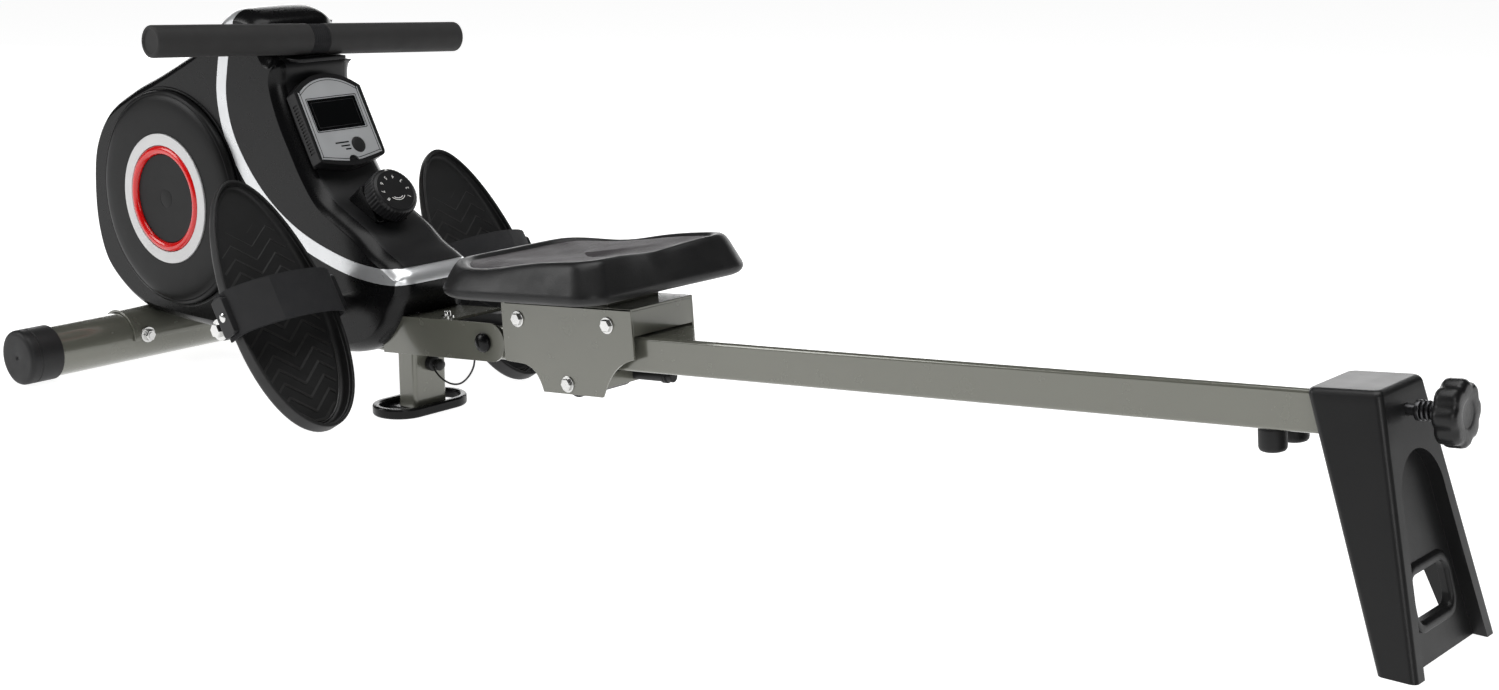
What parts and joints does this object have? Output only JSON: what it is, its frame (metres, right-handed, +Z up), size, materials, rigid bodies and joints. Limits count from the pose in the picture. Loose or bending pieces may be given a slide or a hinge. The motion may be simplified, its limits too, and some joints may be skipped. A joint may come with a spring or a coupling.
{
  "type": "folding magnetic rowing machine",
  "caption": "Magnetic rowing machine with a covered flywheel, pull handle, pivoting foot plates, and a seat rolling on a sloping rail that folds up at the pedals.",
  "frame": {"origin": "on the floor under the middle of the machine's box", "axes": "+X from the flywheel towards the rear leg, +Y to the rower's right, +Z up"},
  "size_m": [1.8226, 0.484, 0.4584],
  "materials": {
    "frame_paint": "grey-green gloss powder coat",
    "black_plastic": "fine satin moulding",
    "silver_plastic": "silver lacquer",
    "white_ring": "pale silver-white lacquer",
    "red_ring": "bright red lacquer",
    "foam": "matt closed-cell foam",
    "seat_pad": "self-skinned polyurethane",
    "black_rubber": "plain black",
    "webbing": "woven polyester",
    "screen": "dark display window",
    "zinc": "zinc plated",
    "cast": "machined and blackened"
  },
  "bodies": {
    "frame": {"stabiliser_tube": "frame_paint", "stabiliser_cap_left": "black_plastic", "stabiliser_cap_right": "black_plastic", "main_frame": "frame_paint", "fold_bracket": "frame_paint", "fold_pin": "zinc", "pivot_cap_left": "black_plastic", "pivot_cap_right": "black_plastic", "middle_post": "frame_paint", "foot_ring": "black_plastic", "casing_left": "black_plastic", "casing_right": "black_plastic", "console_cover": "black_plastic", "trim_band": "silver_plastic", "disc_cover_left": "black_plastic", "disc_cover_right": "black_plastic", "white_ring_left": "white_ring", "white_ring_right": "white_ring", "red_ring_left": "red_ring", "red_ring_right": "red_ring", "console_housing": "black_plastic", "console_fascia": "silver_plastic", "console_screen": "screen", "tension_base": "black_plastic", "handle_rest": "black_plastic", "flywheel_axle": "zinc", "spool_shaft": "zinc", "return_spring_case": "zinc", "drive_belt": "black_rubber", "pedal_axle": "zinc", "pedal_nut_left": "black_plastic", "pedal_nut_right": "black_plastic", "handle_strap": "webbing", "lanyard": "webbing"},
    "folding_rail": {"rail": "frame_paint", "rail_pad": "black_rubber", "bumper_left": "black_rubber", "bumper_right": "black_rubber", "rear_leg": "black_plastic"},
    "seat_carriage": {"carriage": "frame_paint", "seat": "seat_pad"},
    "upper_front_wheel": {"upper_front_roller": "black_plastic"},
    "upper_rear_wheel": {"upper_rear_roller": "black_plastic"},
    "lower_wheel": {"lower_roller": "black_plastic"},
    "handle": {"handle_bar": "zinc", "grip_left": "foam", "grip_right": "foam", "strap_loop": "webbing"},
    "spool": {"strap_spool": "black_plastic"},
    "strap_guide": {"strap_roller": "zinc"},
    "flywheel_body": {"flywheel": "cast"},
    "magnets": {"magnet_bracket": "zinc"},
    "tension_dial": {"tension_knob": "black_plastic"},
    "mode_button": {"console_button": "black_rubber"},
    "pedal_left": {"footplate_left": "black_plastic", "pedal_strap_left": "webbing"},
    "pedal_right": {"footplate_right": "black_plastic", "pedal_strap_right": "webbing"},
    "leg_hand_knob": {"leg_knob": "black_plastic"},
    "parking_pin": {"lock_pin": "black_plastic"}
  },
  "joints": [
    {"name": "rail_fold", "type": "hinge", "parent": "frame", "child": "folding_rail", "pos_m": [-0.20173, 0, 0.11], "axis": [0, -1, 0], "range_deg": [0, 64]},
    {"name": "seat_slide", "type": "slide", "parent": "folding_rail", "child": "seat_carriage", "axis": [0.9961, 0, 0.0887], "range_m": [0, 0.745]},
    {"name": "upper_front_spin", "type": "hinge", "parent": "seat_carriage", "child": "upper_front_wheel", "pos_m": [-0.13977, 0, 0.14699], "axis": [0, 1, 0], "range_deg": [-40, 3600]},
    {"name": "upper_rear_spin", "type": "hinge", "parent": "seat_carriage", "child": "upper_rear_wheel", "pos_m": [-0.0063, 0, 0.15888], "axis": [0, 1, 0], "range_deg": [-40, 3600]},
    {"name": "lower_spin", "type": "hinge", "parent": "seat_carriage", "child": "lower_wheel", "pos_m": [-0.06504, 0, 0.08568], "axis": [0, 1, 0], "range_deg": [-2600, 40]},
    {"name": "handle_pull", "type": "slide", "parent": "frame", "child": "handle", "axis": [0.9976, 0, 0.0698], "range_m": [0, 1.05], "stiffness_N_per_m": 25, "springref_m": -0.3, "deforming": ["handle_strap"]},
    {"name": "spool_spin", "type": "hinge", "parent": "frame", "child": "spool", "pos_m": [-0.55673, 0, 0.225], "axis": [0, 1, 0], "range_deg": [-2800, 40]},
    {"name": "strap_guide_spin", "type": "hinge", "parent": "frame", "child": "strap_guide", "pos_m": [-0.53433, 0, 0.3845], "axis": [0, 1, 0], "range_deg": [-8800, 40]},
    {"name": "flywheel_spin", "type": "hinge", "parent": "frame", "child": "flywheel_body", "pos_m": [-0.73173, 0, 0.219], "axis": [0, 1, 0], "continuous": true},
    {"name": "tension_knob_turn", "type": "hinge", "parent": "frame", "child": "tension_dial", "pos_m": [-0.38673, 0, 0.257], "axis": [0.7997, 0, 0.6004], "range_deg": [0, 280]},
    {"name": "magnet_swing", "type": "hinge", "parent": "frame", "child": "magnets", "pos_m": [-0.70653, 0, 0.3374], "axis": [0, 1, 0], "range_deg": [-0.1, 1.6]},
    {"name": "button_press", "type": "slide", "parent": "frame", "child": "mode_button", "axis": [-0.8763, 0, -0.4817], "range_m": [0, 0.0015], "stiffness_N_per_m": 200, "springref_m": -0.002},
    {"name": "pedal_left_tilt", "type": "hinge", "parent": "frame", "child": "pedal_left", "pos_m": [-0.42873, -0.157, 0.124], "axis": [0, -1, 0], "range_deg": [-2, 35]},
    {"name": "pedal_right_tilt", "type": "hinge", "parent": "frame", "child": "pedal_right", "pos_m": [-0.42873, 0.157, 0.124], "axis": [0, -1, 0], "range_deg": [-2, 35]},
    {"name": "leg_knob_turn", "type": "hinge", "parent": "folding_rail", "child": "leg_hand_knob", "pos_m": [0.89493, 0, 0.20768], "axis": [0.9961, 0, 0.0887], "continuous": true},
    {"name": "parking_pin_pull", "type": "slide", "parent": "frame", "child": "parking_pin", "axis": [1, 0, 0], "range_m": [0, 0.03], "deforming": ["lanyard"]}
  ],
  "couplings": [
    {"joint": "upper_front_spin", "follows": "seat_slide", "rad_per_m": 81.301},
    {"joint": "upper_rear_spin", "follows": "seat_slide", "rad_per_m": 81.301},
    {"joint": "lower_spin", "follows": "seat_slide", "rad_per_m": -57.803},
    {"joint": "spool_spin", "follows": "handle_pull", "rad_per_m": -43.29},
    {"joint": "strap_guide_spin", "follows": "handle_pull", "rad_per_m": -140.85},
    {"joint": "magnet_swing", "follows": "tension_knob_turn", "ratio": 0.00536}
  ]
}
